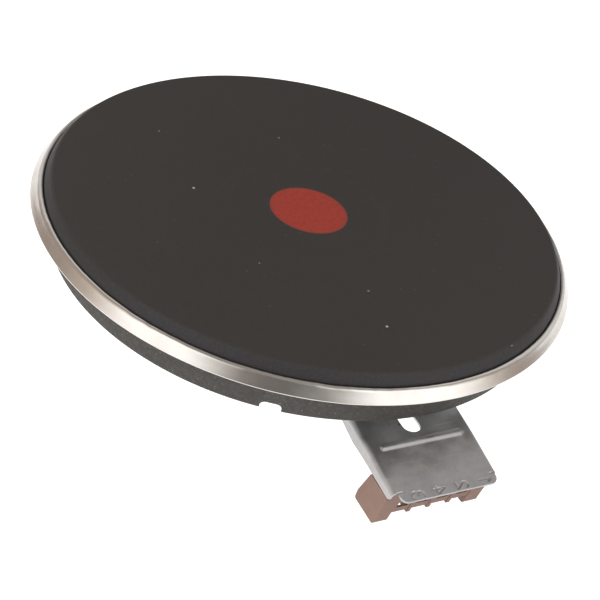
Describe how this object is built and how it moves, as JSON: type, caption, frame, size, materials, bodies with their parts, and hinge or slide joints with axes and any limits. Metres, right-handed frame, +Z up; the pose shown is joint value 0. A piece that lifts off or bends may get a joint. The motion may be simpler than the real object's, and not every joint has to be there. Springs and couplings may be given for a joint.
{
  "type": "hot plate burner",
  "caption": "Sealed cast-iron electric hot plate for a hob, with a red dot, steel spill ring, folded terminal bracket and ceramic terminal block.",
  "frame": {"origin": "on the plate's axis, at the level of the hob's top where the spill ring rests", "axes": "+Z up through the cooking surface, -Y towards the terminal bracket"},
  "size_m": [0.2288, 0.246, 0.0612],
  "materials": {
    "cast_iron": "blackened and oiled cast iron, faint turning marks",
    "red_enamel": "matte heat-proof red enamel",
    "steel_ring": "rolled stainless steel, finely brushed round the ring",
    "magnesia": "pressed magnesia powder",
    "fibre_pad": "ceramic fibre board",
    "ceramic": "unglazed brown steatite",
    "white_ceramic": "unglazed white steatite",
    "zinc_sheet": "galvanised sheet",
    "galvanised": "galvanised sheet, dull with pressing marks",
    "zinc_steel": "zinc-plated steel",
    "nickel_wire": "bare nickel wire",
    "nickel_brass": "nickel-plated brass",
    "spring_bronze": "spring bronze strip",
    "coil_wire": "oxidised resistance wire"
  },
  "bodies": {
    "plate": {"plate_body": "cast_iron", "red_dot": "red_enamel", "spill_ring": "steel_ring", "embedding_compound": "magnesia", "insulating_pad": "fibre_pad", "lead_bush": "ceramic", "bottom_cover": "zinc_sheet", "centre_stud": "zinc_steel", "centre_washer": "zinc_steel", "centre_nut": "zinc_steel", "locating_pin": "zinc_steel", "cutout_base": "white_ceramic", "cutout_pivot": "nickel_wire", "fixed_contact": "spring_bronze", "bimetal_cup": "white_ceramic", "bimetal_disc": "spring_bronze", "cutout_rivets": "zinc_steel", "terminal_bracket": "galvanised", "bracket_rivets": "zinc_steel", "terminal_block": "ceramic", "heating_coil_inner": "coil_wire", "heating_coil_middle": "coil_wire", "heating_coil_outer": "coil_wire", "lead_wire_1": "nickel_wire", "lead_sleeve_1": "white_ceramic", "terminal_plate_1": "nickel_brass", "lead_wire_2": "nickel_wire", "lead_sleeve_2": "white_ceramic", "terminal_plate_2": "nickel_brass", "lead_wire_3": "nickel_wire", "lead_sleeve_3": "white_ceramic", "terminal_plate_3": "nickel_brass", "lead_wire_4": "nickel_wire", "lead_sleeve_4": "white_ceramic", "terminal_plate_4": "nickel_brass"},
    "cutout_arm": {"contact_arm": "spring_bronze"},
    "cutout_pin": {"push_pin": "white_ceramic"},
    "clamp_1": {"clamp_washer_1": "nickel_brass"},
    "screw_1": {"terminal_screw_1": "zinc_steel"},
    "clamp_2": {"clamp_washer_2": "nickel_brass"},
    "screw_2": {"terminal_screw_2": "zinc_steel"},
    "clamp_3": {"clamp_washer_3": "nickel_brass"},
    "screw_3": {"terminal_screw_3": "zinc_steel"},
    "clamp_4": {"clamp_washer_4": "nickel_brass"},
    "screw_4": {"terminal_screw_4": "zinc_steel"}
  },
  "joints": [
    {"name": "cutout_open", "type": "hinge", "parent": "plate", "child": "cutout_arm", "pos_m": [-0.013, 0.022, -0.0066], "axis": [0, 1, 0], "range_deg": [0, 3]},
    {"name": "cutout_pin_travel", "type": "slide", "parent": "plate", "child": "cutout_pin", "axis": [0, 0, -1], "range_m": [0, 0.0007]},
    {"name": "clamp_1_travel", "type": "slide", "parent": "plate", "child": "clamp_1", "axis": [0, 0.2334, -0.9724], "range_m": [0, 0.002]},
    {"name": "screw_1_turn", "type": "hinge", "parent": "clamp_1", "child": "screw_1", "pos_m": [-0.01425, -0.11897, -0.04141], "axis": [0, 0.2334, -0.9724], "range_deg": [0, 1030]},
    {"name": "clamp_2_travel", "type": "slide", "parent": "plate", "child": "clamp_2", "axis": [0, 0.2334, -0.9724], "range_m": [0, 0.002]},
    {"name": "screw_2_turn", "type": "hinge", "parent": "clamp_2", "child": "screw_2", "pos_m": [-0.00475, -0.11897, -0.04141], "axis": [0, 0.2334, -0.9724], "range_deg": [0, 1030]},
    {"name": "clamp_3_travel", "type": "slide", "parent": "plate", "child": "clamp_3", "axis": [0, 0.2334, -0.9724], "range_m": [0, 0.002]},
    {"name": "screw_3_turn", "type": "hinge", "parent": "clamp_3", "child": "screw_3", "pos_m": [0.00475, -0.11897, -0.04141], "axis": [0, 0.2334, -0.9724], "range_deg": [0, 1030]},
    {"name": "clamp_4_travel", "type": "slide", "parent": "plate", "child": "clamp_4", "axis": [0, 0.2334, -0.9724], "range_m": [0, 0.002]},
    {"name": "screw_4_turn", "type": "hinge", "parent": "clamp_4", "child": "screw_4", "pos_m": [0.01425, -0.11897, -0.04141], "axis": [0, 0.2334, -0.9724], "range_deg": [0, 1030]}
  ],
  "couplings": [
    {"joint": "cutout_pin_travel", "follows": "cutout_open", "m_per_rad": 0.013},
    {"joint": "screw_1_turn", "follows": "clamp_1_travel", "rad_per_m": 8976},
    {"joint": "screw_2_turn", "follows": "clamp_2_travel", "rad_per_m": 8976},
    {"joint": "screw_3_turn", "follows": "clamp_3_travel", "rad_per_m": 8976},
    {"joint": "screw_4_turn", "follows": "clamp_4_travel", "rad_per_m": 8976}
  ]
}
